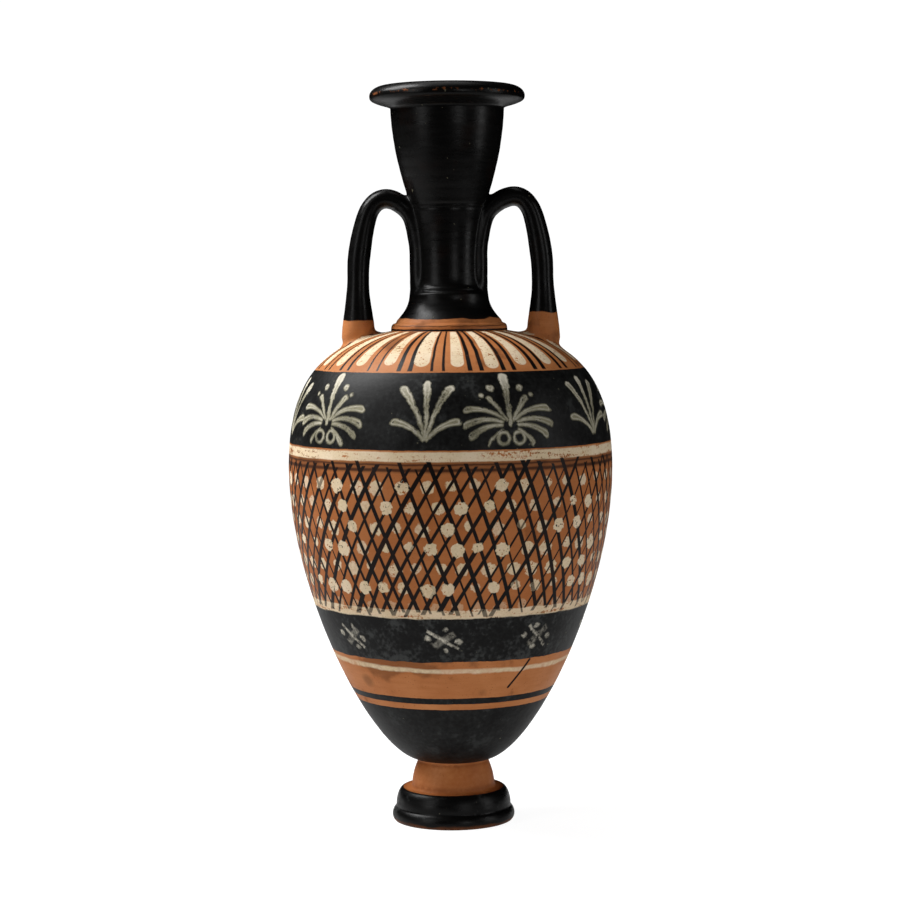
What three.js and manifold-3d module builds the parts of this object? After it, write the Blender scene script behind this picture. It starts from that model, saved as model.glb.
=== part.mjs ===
// Amphoriskos: a small fired clay jar with two strap handles, hollow, standing on its foot.
// Millimetres. The axis of the jar is z, it stands on z = 0, and its handles lie on -x and +x.

import * as THREE from 'three';
import { mergeVertices } from 'three/addons/utils/BufferGeometryUtils.js';
import Module from 'manifold-3d';

// Foot: a low turned disc in two steps, hollowed underneath
const FOOT_RADIUS = 16.8;
const FOOT_TORUS_HEIGHT = 3.8;
const FOOT_UNDERCUT = 0.6;
const FOOT_STEP_RADIUS = 15.7;
const FOOT_STEP_HEIGHT = 5.1;
const FOOT_LEDGE_RADIUS = 13.7;
const STANDING_RING_WIDTH = 5.2;
const FOOT_HOLLOW_DEPTH = 4.5;
const FOOT_HOLLOW_HAUNCH = 3.6;
const TORUS_SWELL_START = 0.8;
const TORUS_SWELL_END = 2.7;

// Stem between the foot and the body
const STEM_HEIGHT = 8;
const STEM_BASE_RADIUS = 11.4;
const STEM_TOP_RADIUS = 9.4;
const STEM_FLARE = 0.8;
const STEM_FULLNESS = 3.7;

// Body: widest a little above the middle, drawn in to the stem, with a broad rounded shoulder
const BODY_RADIUS = 44.2;
const BODY_LOWER_HEIGHT = 80.1;
const BODY_UPPER_HEIGHT = 37.3;
const BOWL_SPREAD = 12.3;
const BOWL_RISE = 0.6;
const BELLY_FULLNESS = 34.2;
const SHOULDER_FULLNESS = 21.4;
const SHOULDER_REACH = 21.1;
const SHOULDER_FALL = 3.3;

// Collar: a bead around the root of the neck and a hollow-sided cone above it
const COLLAR_BEAD_RADIUS = 15.9;
const COLLAR_BEAD_HEIGHT = 2.0;
const COLLAR_BEAD_GROOVE = 1.0;
const COLLAR_HEIGHT = 8.5;
const COLLAR_BEND = 3;
const COLLAR_TOP_RADIUS = 10.7;

// Neck: a slender waist that opens into a bell, and the overhanging lip
const NECK_WAIST_RADIUS = 8.5;
const NECK_WAIST_RISE = 6;
const NECK_WAIST_BEND = 1;
const NECK_HEIGHT = 49.4;
const NECK_TOP_RADIUS = 15.4;
const NECK_BELL_RADIUS = 14.2;
const NECK_FULLNESS = 21;
const LIP_RADIUS = 21;
const LIP_CREST_RADIUS = 17;
const LIP_HEIGHT = 5.8;
const LIP_CROWN = 2.7;

// Walls
const BODY_WALL = 3.6;
const NECK_WALL = 2.8;
const FLOOR_THICKNESS = 5.6;

// Handles: straps pressed against the neck, arched over and set down on the shoulder.
// They were pulled and bent by hand, so each has its own reach and rise.
const LEFT_REACH = 24.7;
const LEFT_ARCH_REACH = 16.6;
const LEFT_RISE = 28;
const RIGHT_REACH = 25.6;
const RIGHT_ARCH_REACH = 17.6;
const RIGHT_RISE = 28.4;
const STRAP_PROUD = 2.1;
const STRAP_THICKNESS = 5.3;
const STRAP_WIDTH = 9;
const LEG_THICKNESS = 6.1;
// How much further out a leg stands on the shoulder than where it leaves the arch
const LEG_LEAN = 0.6;
const HANDLE_FOOT_THICKNESS = 9;
const HANDLE_FOOT_WIDTH = 13;
const HANDLE_SINK = 2.4;

// Turns on a handle's arch, from its outermost point: where it leaves the neck, its top and its shoulder
const ARCH_START = 0.76 * Math.PI;
const ARCH_TOP = 0.5 * Math.PI;
const ARCH_SHOULDER = 0.28 * Math.PI;

// Fineness of the facets: sides around, steps along a strap and steps on each curve of the outline
const TURNED_SIDES = 44;
const STRAP_SIDES = 12;
const STRAP_STEPS = 24;
const BODY_STEPS = { bowl: 12, shoulder: 10, innerBowl: 10, innerShoulder: 7 };
const NECK_STEPS = { outer: 8, inner: 6, collar: 4 };
const SMALL_CURVE_STEPS = 3;
const FOOT_TORUS_STEPS = 4;
const BEAD_STEPS = 2;
const LOOKUP_STEPS = 16;

const footTop = FOOT_TORUS_HEIGHT + FOOT_STEP_HEIGHT;
const stemTop = footTop + STEM_HEIGHT;
const widest = stemTop + BODY_LOWER_HEIGHT;
const shoulderTop = widest + BODY_UPPER_HEIGHT;
const beadTop = shoulderTop + COLLAR_BEAD_HEIGHT;
const collarTop = beadTop + COLLAR_HEIGHT;
const neckTop = collarTop + NECK_HEIGHT;
const lipTop = neckTop + LIP_HEIGHT;

const wasm = await Module();
wasm.setup();

const point = (radius, height) => new THREE.Vector2(radius, height);

const bezier = (start, leave, arrive, end) => new THREE.CubicBezierCurve(start, leave, arrive, end);

// Curves of the outline, each from its lower to its upper end

const lowerBody = bezier(
  point(STEM_TOP_RADIUS, stemTop),
  point(STEM_TOP_RADIUS + BOWL_SPREAD, stemTop + BOWL_RISE),
  point(BODY_RADIUS, widest - BELLY_FULLNESS),
  point(BODY_RADIUS, widest),
);

const shoulder = bezier(
  point(BODY_RADIUS, widest),
  point(BODY_RADIUS, widest + SHOULDER_FULLNESS),
  point(COLLAR_BEAD_RADIUS + SHOULDER_REACH, shoulderTop - SHOULDER_FALL),
  point(COLLAR_BEAD_RADIUS, shoulderTop),
);

const collar = bezier(
  point(COLLAR_BEAD_RADIUS - COLLAR_BEAD_GROOVE, beadTop),
  point(COLLAR_TOP_RADIUS + COLLAR_BEAD_GROOVE, beadTop + COLLAR_BEND),
  point(COLLAR_TOP_RADIUS, collarTop - COLLAR_BEND),
  point(COLLAR_TOP_RADIUS, collarTop),
);

const neck = bezier(
  point(NECK_WAIST_RADIUS, collarTop + NECK_WAIST_RISE),
  point(NECK_WAIST_RADIUS, collarTop + NECK_WAIST_RISE + NECK_FULLNESS),
  point(NECK_BELL_RADIUS, neckTop - NECK_FULLNESS),
  point(NECK_TOP_RADIUS, neckTop),
);

const waist = new THREE.QuadraticBezierCurve(
  point(COLLAR_TOP_RADIUS, collarTop),
  point(NECK_WAIST_RADIUS, collarTop + NECK_WAIST_BEND),
  point(NECK_WAIST_RADIUS, collarTop + NECK_WAIST_RISE),
);

const stem = new THREE.QuadraticBezierCurve(
  point(STEM_BASE_RADIUS, footTop + STEM_FLARE),
  point(STEM_BASE_RADIUS, stemTop - STEM_FULLNESS),
  point(STEM_TOP_RADIUS, stemTop),
);

const lipEdge = lipTop - LIP_CROWN;

const lipUnderside = bezier(
  point(NECK_TOP_RADIUS, neckTop),
  point((NECK_TOP_RADIUS + LIP_RADIUS) / 2, neckTop + LIP_CROWN / 3),
  point(LIP_RADIUS, neckTop + LIP_CROWN / 2),
  point(LIP_RADIUS, lipEdge),
);

const lipCrown = (reach, from, to) =>
  new THREE.EllipseCurve(LIP_CREST_RADIUS, lipEdge, reach, LIP_CROWN, from, to, from > to);

const standingEdge = FOOT_RADIUS - FOOT_UNDERCUT;

const footTorus = bezier(
  point(standingEdge, 0),
  point(FOOT_RADIUS + FOOT_UNDERCUT / 2, TORUS_SWELL_START),
  point(FOOT_RADIUS + FOOT_UNDERCUT / 2, TORUS_SWELL_END),
  point(FOOT_STEP_RADIUS, FOOT_TORUS_HEIGHT),
);

const footStep = bezier(
  point(FOOT_STEP_RADIUS, FOOT_TORUS_HEIGHT),
  point(FOOT_STEP_RADIUS, footTop - FOOT_STEP_HEIGHT / 2),
  point((FOOT_STEP_RADIUS + FOOT_LEDGE_RADIUS) / 2, footTop),
  point(FOOT_LEDGE_RADIUS, footTop),
);

const collarBead = new THREE.QuadraticBezierCurve(
  point(COLLAR_BEAD_RADIUS, shoulderTop),
  point(COLLAR_BEAD_RADIUS, beadTop),
  point(COLLAR_BEAD_RADIUS - COLLAR_BEAD_GROOVE, beadTop),
);

// The outer face from the axis under the foot to the crest of the lip
function outerFace() {
  return [
    point(0, FOOT_HOLLOW_DEPTH),
    point((standingEdge - STANDING_RING_WIDTH) / 2, FOOT_HOLLOW_HAUNCH),
    point(standingEdge - STANDING_RING_WIDTH, 0),
    ...footTorus.getPoints(FOOT_TORUS_STEPS),
    ...footStep.getPoints(SMALL_CURVE_STEPS),
    point(STEM_BASE_RADIUS + STEM_FLARE, footTop),
    ...stem.getPoints(SMALL_CURVE_STEPS),
    ...lowerBody.getPoints(BODY_STEPS.bowl),
    ...shoulder.getPoints(BODY_STEPS.shoulder),
    ...collarBead.getPoints(BEAD_STEPS),
    ...collar.getPoints(NECK_STEPS.collar),
    ...waist.getPoints(SMALL_CURVE_STEPS),
    ...neck.getPoints(NECK_STEPS.outer),
    ...lipUnderside.getPoints(SMALL_CURVE_STEPS),
    ...lipCrown(LIP_RADIUS - LIP_CREST_RADIUS, 0, Math.PI / 2).getPoints(SMALL_CURVE_STEPS),
  ];
}

// A curve of the outer face moved into the clay by a depth square to it
function inset(curve, depth, steps) {
  const moved = [];
  for (let i = 0; i <= steps; i += 1) {
    const along = curve.getTangent(i / steps);
    const inward = point(-along.y, along.x);
    moved.push(curve.getPoint(i / steps).addScaledVector(inward, depth));
  }
  return moved;
}

// A line within the wall from the floor's middle to the top of the neck.
// Share 1 is the inner face, and a smaller share lies that part of the wall's way in.
function insideLine(share) {
  const floor = stemTop + FLOOR_THICKNESS * share;
  const lower = inset(lowerBody, BODY_WALL * share, BODY_STEPS.innerBowl).filter((p) => p.y > floor);
  const upper = inset(shoulder, BODY_WALL * share, BODY_STEPS.innerShoulder).slice(1);
  const bore = inset(neck, NECK_WALL * share, NECK_STEPS.inner);
  const throat = new THREE.QuadraticBezierCurve(
    upper[upper.length - 1],
    point(bore[0].x, shoulderTop),
    bore[0],
  );
  const lifted = throat.getPoints(SMALL_CURVE_STEPS).slice(1);
  return [point(0, floor), ...lower, ...upper, ...lifted, ...bore.slice(1)];
}

// The inner face from the crest of the lip down to the floor's middle
function innerFace() {
  const line = insideLine(1);
  const mouthRadius = line[line.length - 1].x;
  const crown = lipCrown(LIP_CREST_RADIUS - mouthRadius, Math.PI / 2, Math.PI);
  return [...crown.getPoints(SMALL_CURVE_STEPS), ...line.reverse()];
}

// Closed bodies for joining and cutting

const MERGE_DISTANCE = 1e-4;
const SHORTEST_STEP = 1e-3;

function bodyOf(geometry) {
  geometry.deleteAttribute('normal');
  geometry.deleteAttribute('uv');
  const merged = mergeVertices(geometry, MERGE_DISTANCE);
  const index = merged.getIndex().array;
  const faces = [];
  for (let i = 0; i < index.length; i += 3) {
    const [a, b, c] = [index[i], index[i + 1], index[i + 2]];
    if (a !== b && b !== c && c !== a) faces.push(a, b, c);
  }
  const mesh = new wasm.Mesh({
    numProp: 3,
    vertProperties: merged.getAttribute('position').array,
    triVerts: new Uint32Array(faces),
  });
  return new wasm.Manifold(mesh);
}

function geometryOf(body) {
  const { vertProperties, triVerts } = body.getMesh();
  const geometry = new THREE.BufferGeometry();
  geometry.setAttribute('position', new THREE.BufferAttribute(vertProperties, 3));
  geometry.setIndex(new THREE.BufferAttribute(triVerts, 1));
  geometry.computeVertexNormals();
  return geometry;
}

function turned(outline) {
  const spaced = outline.filter((p, i) => i === 0 || p.distanceTo(outline[i - 1]) > SHORTEST_STEP);
  return bodyOf(new THREE.LatheGeometry(spaced, TURNED_SIDES).rotateX(Math.PI / 2));
}

// Handles

// Radius or height of an outline where it passes a given value of the other one
function onOutline(outline, known, wanted, value) {
  const above = outline.map((p) => p[known] > value);
  const next = above.findIndex((side, i) => i > 0 && side !== above[i - 1]);
  const [a, b] = [outline[next - 1], outline[next]];
  return THREE.MathUtils.mapLinear(value, a[known], b[known], a[wanted], b[wanted]);
}

const neckOutline = [collar, waist, neck].flatMap((curve) => curve.getPoints(LOOKUP_STEPS));
const shoulderOutline = shoulder.getPoints(LOOKUP_STEPS);

const neckRadiusAt = (height) => onOutline(neckOutline, 'y', 'x', height);
const shoulderHeightAt = (radius) => onOutline(shoulderOutline, 'x', 'y', radius);

// Stations of a strap: its middle, its thickness seen from the front and its width seen from the side
function strapStations(reach, archReach, rise) {
  const crown = collarTop + rise - STRAP_THICKNESS / 2;
  const claspHeight = collarTop + rise / 2;
  const onNeck = (height) => point(neckRadiusAt(height) + STRAP_PROUD - STRAP_THICKNESS / 2, height);
  const claspRadius = onNeck(claspHeight).x;
  const onArch = (across, drop, angle) =>
    point(archReach + across * Math.cos(angle), crown - drop * (1 - Math.sin(angle)));
  const innerArch = (angle) => onArch(archReach - claspRadius, crown - claspHeight, angle);
  const outerArch = (angle) => onArch(reach - LEG_LEAN - archReach, rise / 2, angle);
  const strap = (middle) => [middle, STRAP_THICKNESS, STRAP_WIDTH];
  const landing = shoulderHeightAt(reach);
  return [
    strap(point(COLLAR_TOP_RADIUS - STRAP_THICKNESS / 2, collarTop - COLLAR_HEIGHT / 2)),
    strap(onNeck(collarTop + NECK_WAIST_RISE)),
    strap(onNeck(claspHeight)),
    strap(innerArch(ARCH_START)),
    strap(innerArch(ARCH_TOP)),
    strap(outerArch(ARCH_SHOULDER)),
    [outerArch(0), LEG_THICKNESS, STRAP_WIDTH],
    [point(reach, (crown + landing) / 2 - STRAP_THICKNESS), LEG_THICKNESS, STRAP_WIDTH],
    [point(reach, landing + HANDLE_SINK), HANDLE_FOOT_THICKNESS, HANDLE_FOOT_WIDTH],
    [point(reach, landing - HANDLE_SINK), HANDLE_FOOT_THICKNESS, HANDLE_FOOT_WIDTH],
  ];
}

// A ring of points around each step of the strap, with a fan at both ends
function strapGeometry(stations) {
  const middles = new THREE.CatmullRomCurve3(stations.map(([p]) => new THREE.Vector3(p.x, 0, p.y)));
  const sections = new THREE.CatmullRomCurve3(stations.map(([, t, w]) => new THREE.Vector3(t, w, 0)));
  middles.curveType = 'catmullrom';
  sections.curveType = 'catmullrom';
  const across = new THREE.Vector3(0, 1, 0);
  const positions = [];
  for (let i = 0; i <= STRAP_STEPS; i += 1) {
    const middle = middles.getPoint(i / STRAP_STEPS);
    const section = sections.getPoint(i / STRAP_STEPS);
    const outward = middles.getTangent(i / STRAP_STEPS).cross(across);
    for (let k = 0; k < STRAP_SIDES; k += 1) {
      const angle = (k / STRAP_SIDES) * 2 * Math.PI;
      const rim = middle.clone();
      rim.addScaledVector(outward, (Math.cos(angle) * section.x) / 2);
      rim.addScaledVector(across, (Math.sin(angle) * section.y) / 2);
      positions.push(...rim);
    }
  }
  const last = STRAP_STEPS * STRAP_SIDES;
  const firstMiddle = positions.length / 3;
  positions.push(...middles.getPoint(0), ...middles.getPoint(1));
  const faces = [];
  for (let k = 0; k < STRAP_SIDES; k += 1) {
    const next = (k + 1) % STRAP_SIDES;
    faces.push(firstMiddle, k, next);
    faces.push(firstMiddle + 1, last + next, last + k);
    for (let start = 0; start < last; start += STRAP_SIDES) {
      const [a, b] = [start + k, start + next];
      faces.push(a, a + STRAP_SIDES, b, b, a + STRAP_SIDES, b + STRAP_SIDES);
    }
  }
  const geometry = new THREE.BufferGeometry();
  geometry.setAttribute('position', new THREE.Float32BufferAttribute(positions, 3));
  geometry.setIndex(faces);
  return geometry;
}

// The jar

function jar() {
  const line = insideLine(1 / 2);
  const core = turned([...line, point(0, line[line.length - 1].y)]);
  const right = bodyOf(strapGeometry(strapStations(RIGHT_REACH, RIGHT_ARCH_REACH, RIGHT_RISE)));
  const left = bodyOf(
    strapGeometry(strapStations(LEFT_REACH, LEFT_ARCH_REACH, LEFT_RISE)).rotateZ(Math.PI),
  );
  return turned([...outerFace(), ...innerFace()]).add(right.subtract(core)).add(left.subtract(core));
}

const firedClay = new THREE.MeshStandardMaterial({ color: 0xb5713f, roughness: 0.75, metalness: 0 });

const amphoriskos = new THREE.Mesh(geometryOf(jar()), firedClay);
amphoriskos.name = 'amphoriskos';

const object = new THREE.Group();
object.add(amphoriskos);

export default object;
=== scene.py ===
"""Looks of a painted terracotta amphoriskos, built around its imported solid.

Metres, z up, the front towards -y and the handles on -x and +x. Sizes below are written in
millimetres and turned into metres where a mesh is made.
"""

import math

import bpy
import numpy as np
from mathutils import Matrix, Vector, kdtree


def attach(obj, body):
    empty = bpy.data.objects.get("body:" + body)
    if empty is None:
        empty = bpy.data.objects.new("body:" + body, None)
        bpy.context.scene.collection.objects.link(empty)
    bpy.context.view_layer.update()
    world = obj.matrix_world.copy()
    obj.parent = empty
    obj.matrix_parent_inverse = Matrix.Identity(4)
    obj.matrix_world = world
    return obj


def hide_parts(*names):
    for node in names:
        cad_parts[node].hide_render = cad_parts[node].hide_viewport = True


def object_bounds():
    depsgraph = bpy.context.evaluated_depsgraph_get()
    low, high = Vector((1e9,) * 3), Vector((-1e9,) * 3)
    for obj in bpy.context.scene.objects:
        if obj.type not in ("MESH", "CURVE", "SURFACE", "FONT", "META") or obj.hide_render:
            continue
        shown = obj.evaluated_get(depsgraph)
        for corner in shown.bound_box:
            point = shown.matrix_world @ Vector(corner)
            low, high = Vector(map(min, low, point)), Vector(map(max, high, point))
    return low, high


bl_info = {
    "name": "Painted amphoriskos",
    "version": (1, 0, 0),
    "blender": (4, 5, 0),
    "location": "View3D > Sidebar > Amphoriskos",
    "description": "Builds a painted terracotta jar around its solid, with its studio",
    "category": "Object",
}

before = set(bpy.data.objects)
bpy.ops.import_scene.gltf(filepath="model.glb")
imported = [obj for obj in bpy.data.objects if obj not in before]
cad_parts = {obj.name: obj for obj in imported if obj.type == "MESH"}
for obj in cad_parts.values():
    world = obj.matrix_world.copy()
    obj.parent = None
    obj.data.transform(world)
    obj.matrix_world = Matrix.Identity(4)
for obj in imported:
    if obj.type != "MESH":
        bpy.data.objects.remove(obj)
CAD_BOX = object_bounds()
MM = 0.001
NODE = "amphoriskos"

# Heights of the jar's parts in millimetres, from the plane that it stands on
FOOT_TORUS_TOP = 3.8
FOOT_TOP = 8.9
STEM_TOP = 16.9
WIDEST = 97.0
SHOULDER_TOP = 134.3
BEAD_TOP = 136.3
COLLAR_TOP = 144.8
NECK_WAIST = 150.8
NECK_TOP = 194.2
LIP_EDGE = 197.3
LIP_TOP = 200.0

# Curves of the outline in millimetres
FOOT_UNDERCUT = 0.6
STANDING_RING = 5.2
FOOT_LEDGE = 13.7
BOWL_SPREAD = 12.3
BOWL_RISE = 0.6
BELLY_FULLNESS = 34.2
SHOULDER_FULLNESS = 21.4
SHOULDER_REACH = 21.1
SHOULDER_FALL = 3.3
NECK_BELL = 14.2
NECK_FULLNESS = 21
THROAT_FLARE = 2
THROAT_BEND = 3

# Handles in millimetres, with places on their arch in half turns from its outermost point
CLASP_UNDER_COLLAR = 4.2
STRAP_PROUD = 2.1
LEG_EXTRA = 0.8
HANDLE_FOOT_EXTRA = 3.7
HANDLE_FOOT_SPREAD = 4
HANDLE_SINK = 2.4
ARCH_START = 0.76
ARCH_TOP = 0.5
ARCH_SHOULDER = 0.28
STRAP_CORNERS = 0.88

# Fineness of the mesh
TURNED_SIDES = 200
CORE_SIDES = 64
STRAP_SIDES = 40
STRAP_STEPS = 110
BODY_STEPS = (58, 34)
NECK_STEPS = 96
INNER_BODY_STEPS = (22, 16)
BORE_STEPS = 26
THROAT_STEPS = 9
FLOOR_STEPS = 7
PLACES_ALONG = 6000

# Joints between the handles and the jar, in millimetres
HANDLES_ABOVE = 110
FAR_FROM_JOINT = 12.0
JOINT_REACH = 2.6
JOINT_PASSES = 26
JOINT_PULL = 0.6

# Unevenness of hand work, in millimetres. Each ridge has its depth, its pace up the jar and its start.
INCISED_LINES = (167.35, 168.35)
INCISED_HALF_WIDTH = 0.22
INCISED_DEPTH = 0.3
NECK_WALL_MIDDLE = ((150, 172, 190, 194), (7.4, 10.3, 13.2, 13.6))
NECK_WIDEST = 15.8
RIDGES = ((0.010, 2.1, 0.0), (0.014, 0.83, 1.1))
LEAN = 0.10
OVALNESS = 0.07
OVAL_TWIST = 0.02
TRUE_BELOW = 14
TRUE_FADE = 12
AXIS_CLEARANCE = 4
LIP_LIFT = 0.4
LIP_LIFT_FROM = 190
LIP_LIFT_OVER = 10


def size(name, millimetres, description):
    """A length that can be set in the panel."""
    return bpy.props.FloatProperty(
        name=name, description=description, default=millimetres * MM, unit="LENGTH", min=0.0, precision=4
    )


def tint(name, colour, description):
    """A colour that can be set in the panel."""
    return bpy.props.FloatVectorProperty(
        name=name, description=description, default=colour, subtype="COLOR", size=3, min=0.0, max=1.0
    )


def repeats(name, number, description):
    """A number of repeats around the jar that can be set in the panel."""
    return bpy.props.IntProperty(name=name, description=description, default=number, min=1)


class JarSizes(bpy.types.PropertyGroup):
    """Radii, walls and handle sizes of the jar."""

    body: size("Body radius", (CAD_BOX[1].x - CAD_BOX[0].x) / 2 / MM, "Widest radius of the body")
    foot: size("Foot radius", 16.8, "Widest radius of the foot")
    foot_step: size("Foot step radius", 15.7, "Radius where the step of the foot meets its torus")
    stem_base: size("Stem base radius", 11.4, "Radius of the stem on the foot")
    stem_top: size("Stem top radius", 9.4, "Radius of the stem under the body")
    bead: size("Bead radius", 15.9, "Radius of the bead around the root of the neck")
    collar: size("Collar top radius", 10.7, "Radius of the collar's upper edge")
    waist: size("Neck waist radius", 8.5, "Radius of the neck where it is thinnest")
    neck_top: size("Neck top radius", 15.4, "Radius of the neck under the lip")
    lip: size("Lip radius", 21.0, "Widest radius of the lip")
    lip_crest: size("Lip crest radius", 17.0, "Radius of the highest line of the lip")
    body_wall: size("Body wall", 3.6, "Thickness of the body's wall")
    neck_wall: size("Neck wall", 2.8, "Thickness of the neck's wall")
    floor: size("Floor", 5.6, "Clay between the stem's top and the inside")
    left_reach: size("Left handle reach", 24.7, "Axis to the middle of the left handle's leg")
    left_arch: size("Left arch reach", 16.6, "Axis to the top of the left handle's arch")
    left_rise: size("Left handle rise", 28.0, "Collar to the top of the left handle")
    right_reach: size("Right handle reach", 25.6, "Axis to the middle of the right handle's leg")
    right_arch: size("Right arch reach", 17.6, "Axis to the top of the right handle's arch")
    right_rise: size("Right handle rise", 28.4, "Collar to the top of the right handle")
    strap: size("Strap thickness", 5.3, "Thickness of the handles at the arch")
    leg_lean: size("Leg lean", 0.6, "How much further out a leg stands on the shoulder than at the arch")
    strap_width: size("Strap width", 9.0, "Width of the handles from front to back")


class PaintSettings(bpy.types.PropertyGroup):
    """Colours of the clay, glaze and slips, and how often each ornament repeats."""

    clay: tint("Clay", (0.62, 0.245, 0.088), "Fired clay")
    clay_deep: tint("Darker clay", (0.40, 0.118, 0.028), "Clay where it fired darker")
    # Also the colour of the painted shade at the top and the foot of the stem
    stain_and_shade: tint("Stain", (0.11, 0.045, 0.018), "Brown stains on the clay")
    glaze: tint("Glaze", (0.0032, 0.0030, 0.0029), "Black glaze")
    thin_glaze: tint("Thin glaze", (0.045, 0.013, 0.005), "Glaze where it is brushed thin")
    cream: tint("Cream slip", (0.91, 0.74, 0.53), "Cream slip of the bands and tongues")
    yellow: tint("Yellowed slip", (0.74, 0.57, 0.33), "Cream slip where it has yellowed")
    faded: tint("Faded slip", (0.42, 0.39, 0.26), "Greenish slip of the ornament on the glaze")
    chalk: tint("Pale slip", (0.74, 0.69, 0.57), "Pale edges of the ornament on the glaze")
    scuff: tint("Scuffs", (0.040, 0.042, 0.041), "Grey scuffs on the glaze")
    tongues: repeats("Tongues", 24, "Tongues around the shoulder")
    sprays: repeats("Sprays", 5, "Pairs of fan and palmette")
    dots: repeats("Dots", 42, "Dots in a row of the net")
    net_rising: repeats("Rising lines", 64, "Net lines one way")
    net_falling: repeats("Falling lines", 68, "Net lines the other way")
    rosettes: repeats("Rosettes", 8, "Rosettes on the lower band")


# Outline. Its points are radius and height in millimetres.


def bend(start, leave, arrive, end, steps):
    """Points of a curved stretch of the outline, without its first one."""
    t = np.linspace(0, 1, steps + 1)[1:, None]
    a, b, c, d = (np.array(p, float) for p in (start, leave, arrive, end))
    return (1 - t) ** 3 * a + 3 * (1 - t) ** 2 * t * b + 3 * (1 - t) * t * t * c + t**3 * d


def quarter(middle, across, up, first, last, steps):
    """Points of an elliptic arc of the outline between two angles in degrees, without its first one."""
    angle = np.radians(np.linspace(first, last, steps + 1)[1:])
    return np.stack([middle[0] + across * np.cos(angle), middle[1] + up * np.sin(angle)], 1)


def body_curves(s, steps):
    """The bowl and the shoulder of the body, each from its lower to its upper end."""
    bowl = bend((s.stem_top, STEM_TOP), (s.stem_top + BOWL_SPREAD, STEM_TOP + BOWL_RISE),
                (s.body, WIDEST - BELLY_FULLNESS), (s.body, WIDEST), steps[0])
    shoulder = bend((s.body, WIDEST), (s.body, WIDEST + SHOULDER_FULLNESS),
                    (s.bead + SHOULDER_REACH, SHOULDER_TOP - SHOULDER_FALL),
                    (s.bead, SHOULDER_TOP), steps[1])
    return bowl, shoulder


def neck_curve(s, steps):
    """The neck from its waist to the lip."""
    return bend((s.waist, NECK_WAIST), (s.waist, NECK_WAIST + NECK_FULLNESS),
                (NECK_BELL, NECK_TOP - NECK_FULLNESS), (s.neck_top, NECK_TOP), steps)


def foot_outline(s):
    """The outer face from the axis under the foot to the top of the stem."""
    edge = s.foot - FOOT_UNDERCUT
    swell = s.foot + 0.25
    hollow = [(0, 4.5), (2.5, 4.3), (5.5, 3.5), (edge - 5.4, 0.1), (edge - STANDING_RING, 0)]
    ring_end = (edge - 0.3, 0)
    torus_start = (edge + 0.1, 0.2)
    torus_end = (s.foot_step, FOOT_TORUS_TOP)
    ledge = (FOOT_LEDGE, FOOT_TOP)
    stem_edge = (s.stem_base + 0.7, FOOT_TOP)
    stem_start = (s.stem_base - 0.05, 9.9)
    return np.vstack([
        hollow,
        ring_end,
        bend(ring_end, (edge, 0), (edge, 0), torus_start, 2),
        bend(torus_start, (swell, 0.8), (swell, 2.7), torus_end, 14),
        bend(torus_end, (s.foot_step + 0.2, 5.6), (15.0, FOOT_TOP), ledge, 14),
        bend(ledge, (13.2, 8.7), (12.8, 8.6), stem_edge, 6),
        bend(stem_edge, (s.stem_base + 0.2, FOOT_TOP), (s.stem_base, 9.2), stem_start, 4),
        bend(stem_start, (11.2, 11.8), (10.8, 14.0), (s.stem_top, STEM_TOP), 12),
    ])


def collar_outline(s):
    """The outer face from the shoulder over the bead and the collar to the neck's waist."""
    bead_end = (s.bead - 0.8, BEAD_TOP)
    collar_start = (14.2, 137.2)
    collar_end = (s.collar + 0.1, 143.6)
    edge = (9.7, COLLAR_TOP + 0.1)
    groove = (9.2, 146.1)
    return np.vstack([
        bend((s.bead, SHOULDER_TOP), (s.bead - 0.1, 135.2), (s.bead - 0.1, 136.0), bead_end, 8),
        bend(bead_end, (s.bead - 1.2, 136.3), (s.bead - 1.5, 136.5), collar_start, 3),
        bend(collar_start, (12.0, 139.5), (s.collar + 0.2, 141.6), collar_end, 16),
        bend(collar_end, (s.collar + 0.1, 144.6), (10.2, COLLAR_TOP), edge, 6),
        bend(edge, (9.5, 145.5), (9.6, 145.7), groove, 4),
        bend(groove, (8.7, 146.8), (s.waist, 148.5), (s.waist, NECK_WAIST), 8),
    ])


def lip_outline(s):
    """The outer face from the neck's top to the crest of the lip."""
    overhang = (19.6, 195.7)
    return np.vstack([
        bend((s.neck_top, NECK_TOP), (s.neck_top + 0.2, 194.7), (18.6, 195.2), overhang, 8),
        bend(overhang, (20.7, 196.1), (s.lip, 196.5), (s.lip, LIP_EDGE), 6),
        quarter((s.lip_crest, LIP_EDGE), s.lip - s.lip_crest, LIP_TOP - LIP_EDGE, 0, 90, 12),
    ])


def outer_outline(s):
    """The outer face from the axis under the foot to the crest of the lip."""
    return np.vstack([
        foot_outline(s), *body_curves(s, BODY_STEPS),
        collar_outline(s), neck_curve(s, NECK_STEPS), lip_outline(s),
    ])


def inset(points, depth):
    """A stretch of outline moved into the clay by a depth square to it."""
    along = np.gradient(points, axis=0)
    along /= np.linalg.norm(along, axis=1)[:, None]
    return points + depth * np.stack([-along[:, 1], along[:, 0]], 1)


def inside_line(s, share):
    """A line within the wall from the floor's middle to the neck's top; share 1 is the inner face."""
    bowl, shoulder = body_curves(s, INNER_BODY_STEPS)
    floor = STEM_TOP + s.floor * share
    lower = inset(np.vstack([bowl, shoulder]), s.body_wall * share)
    lower = lower[lower[:, 1] > floor]
    bore = inset(neck_curve(s, BORE_STEPS), s.neck_wall * share)
    radius = bore[0][0]
    throat = bend(lower[-1], (radius + THROAT_FLARE, SHOULDER_TOP), (radius, SHOULDER_TOP + THROAT_BEND),
                  bore[0], THROAT_STEPS)
    shares = np.linspace(0, 1, FLOOR_STEPS + 1)[:-1, None]
    base = (1 - shares) * np.array([0, floor]) + shares * np.array([lower[0][0], floor])
    return np.vstack([base, lower, throat, bore[1:]])


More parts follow.
